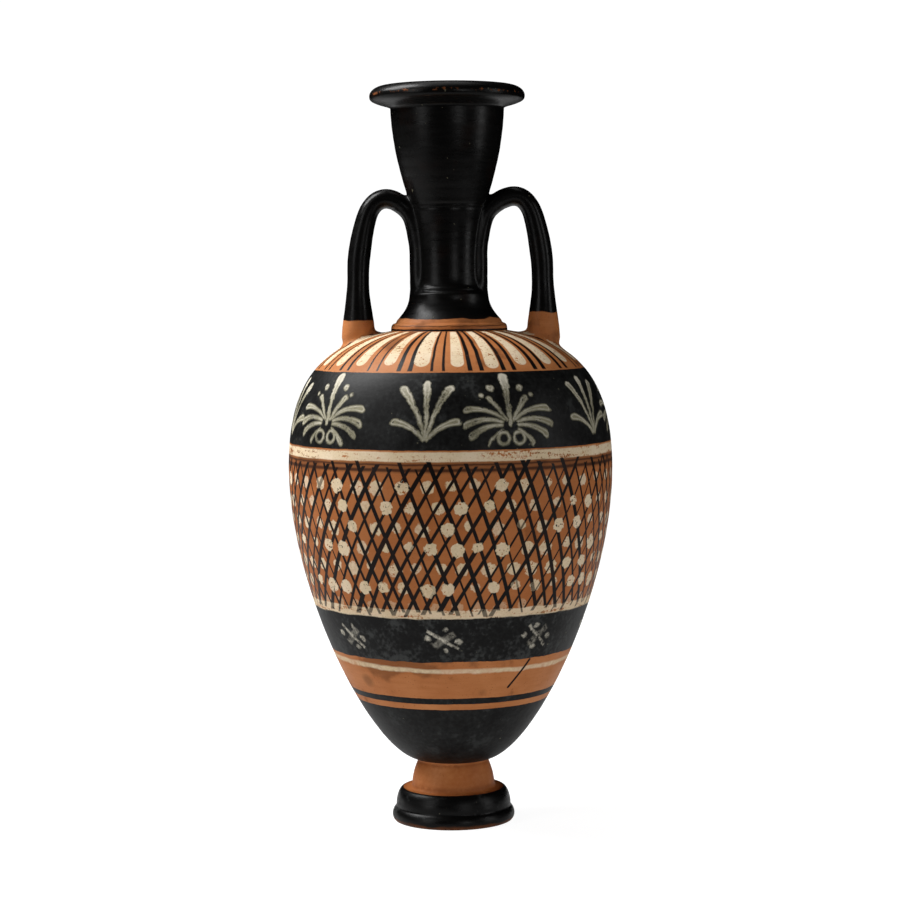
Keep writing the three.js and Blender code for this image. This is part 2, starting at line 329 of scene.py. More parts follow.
def inner_outline(s):
    """The inner face from the crest of the lip to the floor's middle."""
    line = inside_line(s, 1)
    crown = quarter((s.lip_crest, LIP_EDGE), s.lip_crest - line[-1][0], LIP_TOP - LIP_EDGE, 90, 180, 9)
    return np.vstack([crown, line[::-1]])


def arc_length(points):
    """Distance along an outline, counted from the top of the stem."""
    lengths = np.concatenate([[0], np.cumsum(np.linalg.norm(np.diff(points, axis=0), axis=1))])
    outside = lengths < lengths[-1] / 2
    start = np.argmin(np.abs(points[:, 1] - STEM_TOP)[outside])
    return lengths - lengths[start]


# Meshes


def new_object(name, vertices, faces):
    mesh = bpy.data.meshes.new(name)
    mesh.from_pydata((np.asarray(vertices) * MM).tolist(), [], faces)
    mesh.update()
    made = bpy.data.objects.new(name, mesh)
    bpy.context.scene.collection.objects.link(made)
    return made


def closed_body(name, rings, ends):
    """A closed body from rings of points, with a fan to an end point at both of its ends."""
    count, sides = rings.shape[:2]
    last, low = (count - 1) * sides, count * sides
    faces = []
    for k in range(sides):
        after = (k + 1) % sides
        faces.append((low, after, k))
        faces.append((low + 1, last + k, last + after))
        faces += [(r + k, r + after, r + sides + after, r + sides + k) for r in range(0, last, sides)]
    return new_object(name, np.vstack([rings.reshape(-1, 3), ends]), faces)


def turned(name, outline, sides):
    """A closed body of revolution. The outline starts and ends on the axis."""
    turns = outline[1:-1]
    angle = np.arange(sides) * 2 * math.pi / sides
    circle = np.stack([np.sin(angle), -np.cos(angle)], 1)
    rings = np.concatenate([turns[:, None, :1] * circle[None], np.repeat(turns[:, None, 1:], sides, 1)], 2)
    return closed_body(name, rings, [(0, 0, outline[0][1]), (0, 0, outline[-1][1])])


def through(stations, steps):
    """Points of a smooth line through the stations, evenly spaced between each two."""
    p = np.vstack([2 * stations[0] - stations[1], stations, 2 * stations[-1] - stations[-2]])
    t = np.linspace(0, len(stations) - 1, steps + 1)
    i = np.minimum(t.astype(int), len(stations) - 2)
    u = (t - i)[:, None]
    a, b, c, d = p[i], p[i + 1], p[i + 2], p[i + 3]
    return 0.5 * (2 * b + (c - a) * u + (2 * a - 5 * b + 4 * c - d) * u**2 + (3 * b - a - 3 * c + d) * u**3)


def strap_stations(s, outline, reach, arch, rise):
    """Middle, thickness and width of a handle at stations from the collar over the arch to the shoulder."""
    neck = outline[(outline[:, 1] > BEAD_TOP) & (outline[:, 1] < NECK_TOP)]
    body = outline[(outline[:, 1] > WIDEST) & (outline[:, 1] < SHOULDER_TOP)][::-1]
    crown = COLLAR_TOP + rise - s.strap / 2
    clasp = COLLAR_TOP + rise / 2

    def on_neck(height):
        return np.interp(height, neck[:, 1], neck[:, 0]) + STRAP_PROUD - s.strap / 2, height

    def on_arch(across, drop, turn):
        angle = turn * math.pi
        return arch + across * math.cos(angle), crown - drop * (1 - math.sin(angle))

    inner = (arch - on_neck(clasp)[0], crown - clasp)
    outer = (reach - s.leg_lean - arch, rise / 2)
    landing = np.interp(reach, body[:, 0], body[:, 1])
    middle = (crown + landing) / 2 - s.strap
    wide, foot_wide = s.strap_width, s.strap_width + HANDLE_FOOT_SPREAD
    leg, foot = s.strap + LEG_EXTRA, s.strap + HANDLE_FOOT_EXTRA
    upper = [
        (s.collar - s.strap / 2, COLLAR_TOP - CLASP_UNDER_COLLAR),
        on_neck(NECK_WAIST),
        on_neck(clasp),
        on_arch(*inner, ARCH_START),
        on_arch(*inner, ARCH_TOP),
        on_arch(*outer, ARCH_SHOULDER),
    ]
    return np.array([
        *((*place, s.strap, wide) for place in upper),
        (*on_arch(*outer, 0), leg, wide),
        (reach, middle, leg, wide),
        (reach, landing + HANDLE_SINK, foot, foot_wide),
        (reach, landing - HANDLE_SINK, foot, foot_wide),
    ])


def strap(name, stations, side):
    """A handle as a closed strap with an oval section, on the side of the jar that the sign gives."""
    line = through(stations, STRAP_STEPS)
    forward = np.gradient(line[:, :2], axis=0)
    forward /= np.linalg.norm(forward, axis=1)[:, None]
    out = np.stack([-forward[:, 1], forward[:, 0]], 1)
    angle = np.arange(STRAP_SIDES) * 2 * math.pi / STRAP_SIDES
    across = np.sign(np.cos(angle)) * np.abs(np.cos(angle)) ** STRAP_CORNERS
    deep = np.sign(np.sin(angle)) * np.abs(np.sin(angle)) ** STRAP_CORNERS
    lift = line[:, 2, None] / 2 * across[None]
    rings = np.stack([
        side * (line[:, 0, None] + out[:, 0, None] * lift),
        side * line[:, 3, None] / 2 * deep[None],
        line[:, 1, None] + out[:, 1, None] * lift,
    ], 2)
    return closed_body(name, rings, [(side * line[i, 0], 0, line[i, 1]) for i in (0, -1)])


def cut_or_join(target, tool, operation):
    """Joins a tool to a target, or cuts it away, and removes the tool."""
    step = target.modifiers.new(operation.lower(), "BOOLEAN")
    step.operation, step.object, step.solver = operation, tool, "EXACT"
    step.material_mode = "INDEX"
    shown = target.evaluated_get(bpy.context.evaluated_depsgraph_get())
    made = bpy.data.meshes.new_from_object(shown)
    target.modifiers.clear()
    target.data = made
    bpy.data.objects.remove(tool)


def vertex_array(mesh):
    flat = np.zeros(len(mesh.vertices) * 3)
    mesh.vertices.foreach_get("co", flat)
    return flat.reshape(-1, 3)


def search_tree(points):
    """Finds the nearest of some points, by its number."""
    tree = kdtree.KDTree(len(points))
    for i, point in enumerate(points):
        tree.insert(point, i)
    tree.balance()
    return tree


def joint_distance(mesh):
    """Distance in millimetres of each vertex from the line where a handle meets the jar, and its side."""
    on_strap = np.zeros(len(mesh.vertices), bool)
    on_jar = np.zeros(len(mesh.vertices), bool)
    for face in mesh.polygons:
        (on_strap if face.material_index else on_jar)[list(face.vertices)] = True
    places = vertex_array(mesh) / MM
    tree = search_tree(places[on_strap & on_jar])
    near = np.full(len(places), FAR_FROM_JOINT)
    for i in np.flatnonzero(places[:, 2] > HANDLES_ABOVE):
        near[i] = min(FAR_FROM_JOINT, tree.find(places[i])[2])
    return near, on_strap & ~on_jar


def smooth_joints(mesh, near):
    """Rounds the clay where the handles meet the jar, as a potter's finger does."""
    weight = np.clip(1 - near / JOINT_REACH, 0, 1)[:, None]
    places = vertex_array(mesh)
    ends = np.zeros(len(mesh.edges) * 2, int)
    mesh.edges.foreach_get("vertices", ends)
    a, b = ends.reshape(-1, 2).T
    touched = (weight[a, 0] > 0) | (weight[b, 0] > 0)
    a, b = a[touched], b[touched]
    count = np.maximum(np.bincount(np.concatenate([a, b]), minlength=len(places)), 1)[:, None]
    for _ in range(JOINT_PASSES):
        total = np.zeros_like(places)
        np.add.at(total, a, places[b])
        np.add.at(total, b, places[a])
        places += JOINT_PULL * weight * (total / count - places) * (count > 1)
    mesh.vertices.foreach_set("co", places.ravel())
    mesh.update()


def add_attribute(mesh, name, values):
    mesh.attributes.new(name, "FLOAT", "POINT").data.foreach_set("value", np.asarray(values, np.float32))


def hand_work(mesh):
    """The small unevenness of a hand-turned jar: a raised lip, incised lines, ridges, uneven roundness."""
    p = vertex_array(mesh) / MM
    radius = np.hypot(p[:, 0], p[:, 1])
    angle = np.arctan2(p[:, 0], -p[:, 1])
    height = p[:, 2]
    outside = (radius > np.interp(height, *NECK_WALL_MIDDLE)) & (radius < NECK_WIDEST)
    lines = sum(np.exp(-(((height - line) / INCISED_HALF_WIDTH) ** 2)) for line in INCISED_LINES)
    ridges = sum(depth * np.sin(height * pace + start) for depth, pace, start in RIDGES)
    uneven = LEAN * np.sin(angle + 0.4) + OVALNESS * np.sin(2 * angle + height * OVAL_TWIST)
    body = np.clip((height - TRUE_BELOW) / TRUE_FADE, 0, 1)
    push = -INCISED_DEPTH * lines * outside + body * (ridges + uneven)
    scale = 1 + push / np.maximum(radius, AXIS_CLEARANCE)
    p[:, 0] *= scale
    p[:, 1] *= scale
    p[:, 2] += np.clip((height - LIP_LIFT_FROM) / LIP_LIFT_OVER, 0, 1) * LIP_LIFT
    mesh.vertices.foreach_set("co", (p * MM).ravel())
    mesh.update()


class Sizes:
    """The panel's lengths in millimetres."""

    def __init__(self, group):
        for name in group.__annotations__:
            setattr(self, name, getattr(group, name) / MM)


def mark_faces(mesh, index):
    """Gives all faces one of two empty material slots, so that a joint shows which side a face is from."""
    while len(mesh.materials) < 2:
        mesh.materials.append(None)
    mesh.polygons.foreach_set("material_index", np.full(len(mesh.polygons), index))


def join_handles(jar, s, outer):
    """Joins both handles to the jar, cut off within its wall."""
    line = inside_line(s, 0.5)
    core_outline = np.vstack([line, [(0, line[-1][1])]])
    handles = (("left", -1, s.left_reach, s.left_arch, s.left_rise),
               ("right", 1, s.right_reach, s.right_arch, s.right_rise))
    mark_faces(jar.data, 0)
    for name, side, reach, arch, rise in handles:
        handle = strap(name, strap_stations(s, outer, reach, arch, rise), side)
        cut_or_join(handle, turned("core", core_outline, CORE_SIDES), "DIFFERENCE")
        mark_faces(handle.data, 1)
        cut_or_join(jar, handle, "UNION")


def lay_out_places(mesh, outline, near, on_strap):
    """Gives each vertex its place along the outline, its part, and its distance from a handle's joint."""
    dense = np.linspace(0, len(outline) - 1, PLACES_ALONG)
    steps = np.arange(len(outline))
    radii, heights, along = (np.interp(dense, steps, v) for v in (*outline.T, arc_length(outline)))
    tree = search_tree(np.stack([radii, heights, np.zeros_like(radii)], 1))
    places = vertex_array(mesh) / MM
    across = np.hypot(places[:, 0], places[:, 1])
    found = [along[tree.find((radius, height, 0))[1]] for radius, height in zip(across, places[:, 2])]
    add_attribute(mesh, "along", found)
    add_attribute(mesh, "strap", on_strap)
    add_attribute(mesh, "seam", np.where(on_strap, -near, near))


def build_jar_mesh(group):
    s = Sizes(group)
    outer = outer_outline(s)
    outline = np.vstack([outer, inner_outline(s)])
    jar = turned(NODE + "_painted", outline, TURNED_SIDES)
    join_handles(jar, s, outer)
    mesh = jar.data
    near, on_strap = joint_distance(mesh)
    smooth_joints(mesh, near)
    lay_out_places(mesh, outline, near, on_strap)
    hand_work(mesh)
    mark_faces(mesh, 0)
    mesh.materials.clear()
    mesh.polygons.foreach_set("use_smooth", np.ones(len(mesh.polygons), bool))
    return jar


# Numbers over the surface


class Field:
    """A number that varies over the surface. Arithmetic on it adds nodes to its material."""

    def __init__(self, tree, socket):
        self.tree, self.socket = tree, socket

    def math(self, operation, *others, clamp=False):
        node = self.tree.nodes.new("ShaderNodeMath")
        node.operation, node.use_clamp = operation, clamp
        for socket, value in zip(node.inputs, (self, *others)):
            feed(self.tree, socket, value)
        return Field(self.tree, node.outputs[0])

    def __add__(self, other):
        return self.math("ADD", other)

    def __sub__(self, other):
        return self.math("SUBTRACT", other)

    def __mul__(self, other):
        return self.math("MULTIPLY", other)

    def __truediv__(self, other):
        return self.math("DIVIDE", other)

    def __abs__(self):
        return self.math("ABSOLUTE")

    def __neg__(self):
        return self * -1.0

    def __rsub__(self, other):
        return self.math("MULTIPLY_ADD", -1.0, other)

    __radd__ = __add__
    __rmul__ = __mul__

    def clamped(self):
        return self.math("ADD", 0.0, clamp=True)

    def inside(self, softness=0.12):
        """1 where the number is below zero, 0 where it is above, with a short soft edge."""
        return self.math("MULTIPLY_ADD", -1.0 / softness, 0.5, clamp=True)


def feed(tree, socket, value):
    if isinstance(value, Field):
        tree.links.new(value.socket, socket)
    else:
        socket.default_value = value


def larger(*fields):
    """The largest of some numbers. The first one varies over the surface."""
    result = fields[0]
    for field in fields[1:]:
        result = result.math("MAXIMUM", field)
    return result


def smaller(*fields):
    """The smallest of some numbers. The first one varies over the surface."""
    result = fields[0]
    for field in fields[1:]:
        result = result.math("MINIMUM", field)
    return result


def length_of(a, b):
    return (a * a + b * b).math("SQRT")


class Surface:
    """The places that the paint is laid out by, and the noises that wear it."""

    def __init__(self, tree):
        self.tree = tree
        self.place = tree.nodes.new("ShaderNodeTexCoord").outputs["Object"]
        split = tree.nodes.new("ShaderNodeSeparateXYZ")
        tree.links.new(self.place, split.inputs[0])
        self.x, self.y, self.z = (Field(tree, out) for out in split.outputs)
        self.turn = self.x.math("ARCTAN2", -self.y)
        self.front = self.turn.math("COSINE")
        self.right = self.turn.math("SINE")
        self.along = self.attribute("along")
        self.strap = self.attribute("strap")
        self.seam = self.attribute("seam")
        self.radius = length_of(self.x, self.y) * (1 / MM)
        self.height = self.z * (1 / MM)
        self.jar = self.strap * -1.0 + 1.0
        self.broad = self.grain(26, 3)
        self.patch = self.grain(7, 4, shift=0.3)
        self.hand = self.grain(5.5, 1, shift=0.9)
        self.fine = self.grain(1.1, 3)
        self.streak = self.grain(0.9, 2, stretch=(0.12, 0.12, 1.0))
        self.speck = self.grain(0.45, 2, shift=0.6)
        self.loose = self.along + self.grains(0.0, hand=0.9, fine=0.3)
        self.straight = self.along + self.grains(0.0, hand=0.35, fine=0.18)

    def attribute(self, name):
        node = self.tree.nodes.new("ShaderNodeAttribute")
        node.attribute_name = name
        return Field(self.tree, node.outputs["Fac"])

    def grain(self, size_mm, detail=2.0, stretch=(1, 1, 1), shift=0.0):
        """Noise from -0.5 to 0.5 with features of about the given size."""
        mapped = self.tree.nodes.new("ShaderNodeMapping")
        mapped.inputs["Scale"].default_value = stretch
        mapped.inputs["Location"].default_value = (shift, shift * 0.7, shift * 1.3)
        self.tree.links.new(self.place, mapped.inputs[0])
        node = self.tree.nodes.new("ShaderNodeTexNoise")
        node.inputs["Scale"].default_value = 1 / (size_mm * MM)
        node.inputs["Detail"].default_value = detail
        self.tree.links.new(mapped.outputs[0], node.inputs["Vector"])
        return Field(self.tree, node.outputs["Fac"]) - 0.5

    def grains(self, base, **shares):
        """A base number, with shares of the named noises or directions added to it."""
        total = base
        for name, share in shares.items():
            total = getattr(self, name) * share + total
        return total

    def mottle(self, base, **shares):
        """The same, kept between 0 and 1."""
        return self.grains(base, **shares).clamped()

    def chances(self, column, row, seed):
        """Three numbers from 0 to 1 that are the same all over one cell. The seed starts another set."""
        cell = self.tree.nodes.new("ShaderNodeCombineXYZ")
        feed(self.tree, cell.inputs[0], column)
        feed(self.tree, cell.inputs[1], row)
        cell.inputs[2].default_value = seed
        node = self.tree.nodes.new("ShaderNodeTexWhiteNoise")
        self.tree.links.new(cell.outputs[0], node.inputs["Vector"])
        split = self.tree.nodes.new("ShaderNodeSeparateColor")
        self.tree.links.new(node.outputs["Color"], split.inputs[0])
        return [Field(self.tree, out) for out in split.outputs]

    def columns(self, turn, count, shift):
        """Which of count columns a place is in, its distance from the column's middle, and their width."""
        spot = turn * (count / (2 * math.pi)) + (0.5 + shift)
        index = spot.math("FLOOR")
        pitch = self.radius * (2 * math.pi / count)
        return index.math("FLOORED_MODULO", float(count)), spot - index - 0.5, pitch


def blend_colours(tree, factor, first, second):
    mix = tree.nodes.new("ShaderNodeMix")
    mix.data_type = "RGBA"
    feed(tree, mix.inputs["Factor"], factor)
    for name, colour in (("A", first), ("B", second)):
        if isinstance(colour, bpy.types.NodeSocket):
            tree.links.new(colour, mix.inputs[name])
        else:
            mix.inputs[name].default_value = (*colour, 1)
    return mix.outputs["Result"]


class Coat:
    """The colour and roughness of the surface, laid on layer by layer by masks from 0 to 1."""

    def __init__(self, tree, colour, roughness):
        self.tree = tree
        self.colour, self.roughness = colour, roughness

    def lay(self, mask, colour, roughness, strength=1.0):
        if strength != 1.0:
            mask = mask * strength
        self.colour = blend_colours(self.tree, mask, self.colour, colour)
        self.roughness = self.roughness + mask * (self.roughness * -1.0 + roughness)


def shade(colour, share):
    return tuple(value * share for value in colour)


# Ornament. Heights along the body are in millimetres from the top of the stem, over its outer face.
# Shifts are shares of a repeat, and slants are turns in radians for each millimetre of height.

FOOT_GLAZE = (-21.6, -10.4)
STEM = (-11.0, 0.0)
# Painted shade on the stem, each line as its place and width: in the crease at the stem's foot and under
# the bowl at its top
STEM_SHADE_LINES = ((-7.4, 1.0), (-0.9, 0.8))
LOWER_FIELD = (0.9, 25.3)
LOWER_LINE = (27.2, 29.1)
WAVY_LINE = (38.0, 39.3)
ROSETTE_BAND = (40.5, 53.6)
NET_LOWER_EDGE = (53.4, 55.9)
NET = (55.4, 94.6)
NET_UPPER_STRIP = (92.4, 95.4)
NET_UPPER_LINES = ((93.1, 0.8), (94.5, 0.5))
NET_UPPER_EDGE = (95.3, 97.8)
SPRAY_BAND = (98.2, 119.5)
TONGUES = (121.0, 142.6)
SHOULDER_SCRAPE = 125.8
SEAM_LINE_TOP = 141.0
SEAM_LINE_FROM_JOINT = 0.9
COLLAR_LINE = 143.5
# Place of the painted shade in the bead's groove
BEAD_GROOVE = 144.6
COLLAR_GLAZE = 147.4

TONGUE_SHIFT = -0.214
TONGUE_HALF = 0.215
TONGUE_LINES_MIDDLE = 131.0
TONGUE_LINES_HALF_GAP = 0.16
TONGUE_LINES_THICKEN = 0.012
TONGUE_LINES_HALF = 0.30
NET_MIDDLE = 75.0
NET_RADIUS = 42

# Both families of net lines: slant, shift, seed, half thickness, and how much thicker they are at the right
RISING_LINES = (-0.0141, 0.1, 11.0, 0.47, -0.20)
FALLING_LINES = (0.0085, 0.35, 13.0, 0.43, 0.04)

DOT_ROWS = 7
DOT_ROW_HEIGHT = 5.43
DOT_RADIUS = 1.62
DOT_ROW_SHIFT = 0.37
DOT_SHIFT = 0.21
DOTS_UNDER_NET = 0.36
LOWEST_DOTS = 56.4

# Each stroke of a spray, from the middle outwards: its turn from upright, its curl, where it starts and
# ends, its half thickness there, and how much thinner it is on the left
SPRAY_FOOT = 100.4
FAN_SHIFT = 0.1165
FAN_STROKES = (
    (0.0, 0.0, 1.0, 15.6, 0.5, 1.15, 0.0),
    (0.22, 0.012, 1.0, 15.4, 0.45, 1.25, 0.1),
    (0.55, 0.045, 1.0, 10.0, 0.5, 1.1, 0.0),
)
PALMETTE_SHIFT = -0.301
PALMETTE_HEART = 3.6
PALMETTE_STROKES = (
    (0.0, 0.0, 0.6, 13.6, 0.6, 1.25, 0.0),
    (0.50, 0.012, 2.0, 9.2, 0.5, 0.9, 0.15),
    (0.64, 0.044, 2.6, 12.6, 0.45, 1.1, 0.12),
    (0.98, 0.044, 2.8, 12.2, 0.45, 1.05, 0.0),
    (1.30, 0.043, 2.6, 11.0, 0.45, 1.0, 0.0),
    (1.78, 0.050, 2.6, 7.8, 0.4, 0.8, 0.2),
)
PETAL_TIPS = 112.5

# Beside and above a palmette's foot, the volutes' place, radius and half thickness, and the beads' radius
VOLUTE = (2.3, 0.6, 1.55, 0.46)
BEADS = ((4.2, 14.0, 0.95), (7.2, 12.0, 0.6))

# The middle number and half the count of the palmettes and crosses at the back, and a distance that is
# farther than any stroke is thick, which hides their details
BACK_PALMETTES = (2.5, 1.0)
BACK_ROSETTES = (4.0, 1.5)
HIDDEN = 6.0

# The crosses on the lower band: half thickness and reach of each stroke, and the dots' place and radius
ROSETTE_MIDDLE = 47.0
ROSETTE_SHIFT = 0.098
THIN_STROKE = (0.4, 4.7)
BROAD_STROKE = (0.95, 3.5)
SIDE_DOTS = (4.1, 0.85)
UPRIGHT_DOTS = (3.1, 0.65)

# Places as a turn in radians and a height along the body, and rubbed edges in millimetres
STAINS = (((-0.84, 33.2), 1.7), ((0.27, 30.8), 0.6), ((2.6, 34.0), 2.2))
SCRATCH_START = (0.665, 40.0)
SCRATCH_END = (0.525, 32.0)
SCRATCH_RADIUS = 31.4
SCRATCH_HALF = 0.34
STRAP_GLAZE = 138.2
STRAP_GLAZE_STEP = -0.9
LIP_RUBBED = 197.9
LIP_RUBBED_RADIUS = 20.3
FOOT_RUBBED = 0.9
FOOT_RUBBED_RADIUS = 15.4

CLAY_ROUGHNESS = 0.52
SLIP_ROUGHNESS = 0.85
# Roughness of stains, scuffs and the painted shade on the stem
DIRT_AND_SHADE_ROUGHNESS = 0.7
GLAZE_SHINE = 0.14
RELIEF_STRENGTH = 0.5
RELIEF_DEPTH = 0.12


def strip(along, limits, softness=0.12):
    low, high = limits
    return (abs(along - (low + high) / 2) - (high - low) / 2).inside(softness)


def line_across(along, place, width, softness=0.12):
    return (abs(along - place) - width / 2).inside(softness)


def lines_at(along, lines, softness):
    """Some lines across the jar, each given as its place and its width."""
    return larger(*(line_across(along, place, width, softness) for place, width in lines))


def swing(chance, width):
    """A chance from 0 to 1, made to swing about zero over a width."""
    return (chance - 0.5) * width


def shoulder_tongues(f, count, wobble):
    """Cream tongues with round lower ends, and pairs of black lines between them."""
    low, high = TONGUES
    index, off, pitch = f.columns(f.turn, count, TONGUE_SHIFT)
    a, b, c = f.chances(index, 0.0, seed=3.1)
    arc = (off + swing(a, 0.08) + wobble * 0.045) * pitch
    half = pitch * TONGUE_HALF + swing(c, 0.5)
    foot = f.along - low - half - 0.5 + swing(b, 1.6)
    reach = length_of(arc, smaller(foot, 0.0))
    tongue = (reach - half).inside(0.25) * (f.along - high).inside(0.4)

    index, off, pitch = f.columns(f.turn, count, TONGUE_SHIFT + 0.5)
    a, b, c = f.chances(index, 1.0, seed=4.1)
    slant = (f.along - TONGUE_LINES_MIDDLE) * swing(b, 0.006)
    arc = abs(off + swing(a, 0.07) + slant + wobble * 0.05) * pitch
    half = (high - f.along) * TONGUE_LINES_THICKEN + TONGUE_LINES_HALF
    edge = abs(abs(arc) - pitch * TONGUE_LINES_HALF_GAP) - half * (c * 0.8 + 0.42)
    line = edge.inside(0.2) * strip(f.along, (low - 1.0, high + 0.6), 0.4)
    return tongue, line


def net_lines(f, count, slant, shift, seed, half, half_rightward):
    """One family of slanting brush lines over the net band, each with its own place, slant and width."""
    low, high = NET
    middle = f.along - NET_MIDDLE
    index, off, pitch = f.columns(f.turn + middle * slant, count, shift)
    a, b, c = f.chances(index, 1.0, seed)
    off = off + swing(a, 0.24) + middle * swing(b, 0.008)
    steep = 1 / math.sqrt(1 + (slant * NET_RADIUS) ** 2)
    own_half = f.grains(half, right=half_rightward) * (c * 0.85 + 0.55)
    top = (f.along - high - (c - 0.6) * 2.2).inside(0.3)
    foot = (low + 0.6 - a * 2.4 - f.along).inside(0.3)
    return (abs(off) * pitch * steep - own_half).inside(0.16) * top * foot


def net_dots(f, count, rough):
    """Rows of round cream dots. The second mask is the dots that lie over the net lines."""
    step = (f.along - LOWEST_DOTS) * (1 / DOT_ROW_HEIGHT) + 0.5
    row = step.math("FLOOR")
    spot = f.turn * (count / (2 * math.pi)) + row * DOT_ROW_SHIFT + DOT_SHIFT
    whole_spot = spot.math("FLOOR")
    column = whole_spot.math("FLOORED_MODULO", float(count))
    a, b, c = f.chances(column, row, seed=7.7)
    across = (spot - whole_spot - 0.5 + swing(a, 0.22)) * f.radius * (2 * math.pi / count)
    up = (step - row - 0.5 + swing(c, 0.24)) * DOT_ROW_HEIGHT
    reach = length_of(across, up) + rough * 1.7
    within = strip(row, (-0.5, DOT_ROWS - 0.5), 0.2)
    whole = (row * 0.5 + 0.45).clamped()
    dot = (reach - DOT_RADIUS - swing(c, 0.8)).inside(0.25) * within * whole
    return dot, dot * (b - DOTS_UNDER_NET).inside(0.05) * row.clamped()


def stroke(lean, reach, left, shape):
    """Distance to a round-ended brush stroke that runs out from a spray's foot and widens to its end."""
    toward, curl, start, end, thin, thick, left_thinner = shape
    bent = abs(lean - toward - reach * curl) * reach
    past = larger(reach - end, start - reach, 0.0)
    share = (reach * (1 / end)).math("MINIMUM", 1.0)
    return length_of(bent, past) - (share * share * (thick - thin) + thin) + left * left_thinner


def spray_place(f, count, shift, row, rough):
    """Number of the spray's cell, and the distances to its foot around the jar and upwards."""
    index, off, pitch = f.columns(f.turn + f.right * 0.05, count, shift)
    a, b, _ = f.chances(index, row, seed=5.5)
    arc = (off + swing(a, 0.02)) * pitch + rough * 1.3
    return index, arc, f.along - SPRAY_FOOT - swing(b, 0.8)


def strokes(arc, up, shapes):
    """Distance to the nearest of some strokes and their mirrored partners around one foot."""
    reach = length_of(arc, up)
    lean = abs(arc).math("ARCTAN2", up)
    left = arc.math("LESS_THAN", 0.0)
    return smaller(*(stroke(lean, reach, left, shape) for shape in shapes))


def fans(f, count, rough):
    """Distance to fans of five petals around the spray band."""
    _, arc, foot = spray_place(f, count, FAN_SHIFT, 2.0, rough)
    return strokes(arc, foot, FAN_STROKES)


def hidden_at(index, cells):
    """A distance that keeps a detail out of some cells, given as their middle and half their number."""
    middle, half = cells
    return (abs(index - middle) - half).inside(0.1) * HIDDEN


def palmettes(f, count, rough):
    """Distance to drooping palmettes between the fans. At the back they have no volutes and no beads."""
    index, arc, foot = spray_place(f, count, PALMETTE_SHIFT, 3.0, rough)
    plain = hidden_at(index, BACK_PALMETTES)
    leaves = strokes(arc, foot - PALMETTE_HEART, PALMETTE_STROKES)
    across = abs(arc)
    side, up, radius, half = VOLUTE
    volute = abs(length_of(across - side, foot - up) - radius) - half
    beads = smaller(*(length_of(across - side, foot - up) - radius for side, up, radius in BEADS))
    return smaller(leaves, volute + plain, beads + plain)


def stroke_between(f, start, end, half):
    """A straight scratch between two places, each a turn in radians and a height along the body."""
    a = (f.turn - start[0]) * f.radius
    b = f.along - start[1]
    run, rise = (end[0] - start[0]) * SCRATCH_RADIUS, end[1] - start[1]
    whole = run * run + rise * rise
    share = ((a * run + b * rise) * (1 / whole)).clamped()
    return (length_of(a - share * run, b - share * rise) - half).inside(0.15)


def smudge(f, place, half):
    """A soft round stain at a place given as a turn in radians and a height along the body."""
    a = (f.turn - place[0]) * f.radius
    return (length_of(a, f.along - place[1]) + f.patch * 3.0 - half).inside(1.6)


def rosettes(f, count, rough):
    """Distances to the thin stroke, the broad stroke and the small dots of each cross on the lower band."""
    index, off, pitch = f.columns(f.turn, count, ROSETTE_SHIFT)
    plain = hidden_at(index, BACK_ROSETTES)
    a, b, c = f.chances(index, 4.0, seed=9.3)
    across = (off + swing(a, 0.08)) * pitch + rough * 1.5
    up = f.along - ROSETTE_MIDDLE - swing(b, 0.6)
    tilt = swing(c, 0.6) + 0.75
    spread = (tilt * tilt + 1.0).math("SQRT")
    falling = abs(across * tilt + up) / spread
    rising = abs(across * tilt - up) / spread
    reach = length_of(across, up)
    (thin_half, thin_reach), (broad_half, broad_reach) = THIN_STROKE, BROAD_STROKE
    thin = larger(falling - thin_half, reach - thin_reach)
    broad = larger(rising - broad_half, reach - broad_reach)
    (aside, side_half), (above, upright_half) = SIDE_DOTS, UPRIGHT_DOTS
    spots = smaller(
        length_of(abs(across + swing(c, 1.0)) - aside, up + across * 0.12) - side_half,
        length_of(across + swing(a, 2.0), abs(up) - above) - upright_half,
    )
    return thin, broad, spots + plain


def fired_clay(f, paint):
    """Bare clay, paler and deeper by patches, with freckles and stains, and painted shade under the bowl at
    the stem's top and in the crease at its foot.
    """
    tone = f.mottle(0.42, broad=1.3, patch=0.8, streak=0.5)
    clay = blend_colours(f.tree, tone, paint.clay, paint.clay_deep)
    coat = Coat(f.tree, clay, f.grains(CLAY_ROUGHNESS, patch=0.2))
    freckles = f.grains(0.19, speck=-1.0).inside(0.05)
    coat.lay(freckles, shade(paint.clay_deep, 0.45), 0.75, strength=0.5)
    stains = f.grains(0.16, patch=-0.9, broad=-1.1).inside(0.1)
    coat.lay(stains, paint.stain_and_shade, 0.75, strength=0.45)
    for place, half in STAINS:
        coat.lay(smudge(f, place, half), paint.stain_and_shade, DIRT_AND_SHADE_ROUGHNESS, strength=0.45)
    # Painted shade: mottled dark lines in the crease at the stem's foot and under the overhanging bowl
    stem_shade = lines_at(f.straight, STEM_SHADE_LINES, 0.8) * f.mottle(0.45, patch=1.8, fine=1.2)
    coat.lay(stem_shade * f.jar, paint.stain_and_shade, DIRT_AND_SHADE_ROUGHNESS)
    stem_tone = f.mottle(0.55, patch=1.2, fine=0.8)
    deeper = larger(strip(f.along, NET, 1.0) * 0.5, strip(f.along, STEM, 2.0) * stem_tone)
    coat.lay(deeper * f.jar, paint.clay_deep, CLAY_ROUGHNESS)
    dusk = strip(f.straight, NET_UPPER_STRIP, 0.6)
    coat.lay(dusk * f.jar, paint.stain_and_shade, DIRT_AND_SHADE_ROUGHNESS, strength=0.45)
    red_lines = lines_at(f.straight, NET_UPPER_LINES, 0.4)
    coat.lay(red_lines * f.jar, paint.thin_glaze, 0.6, strength=0.85)
    return coat


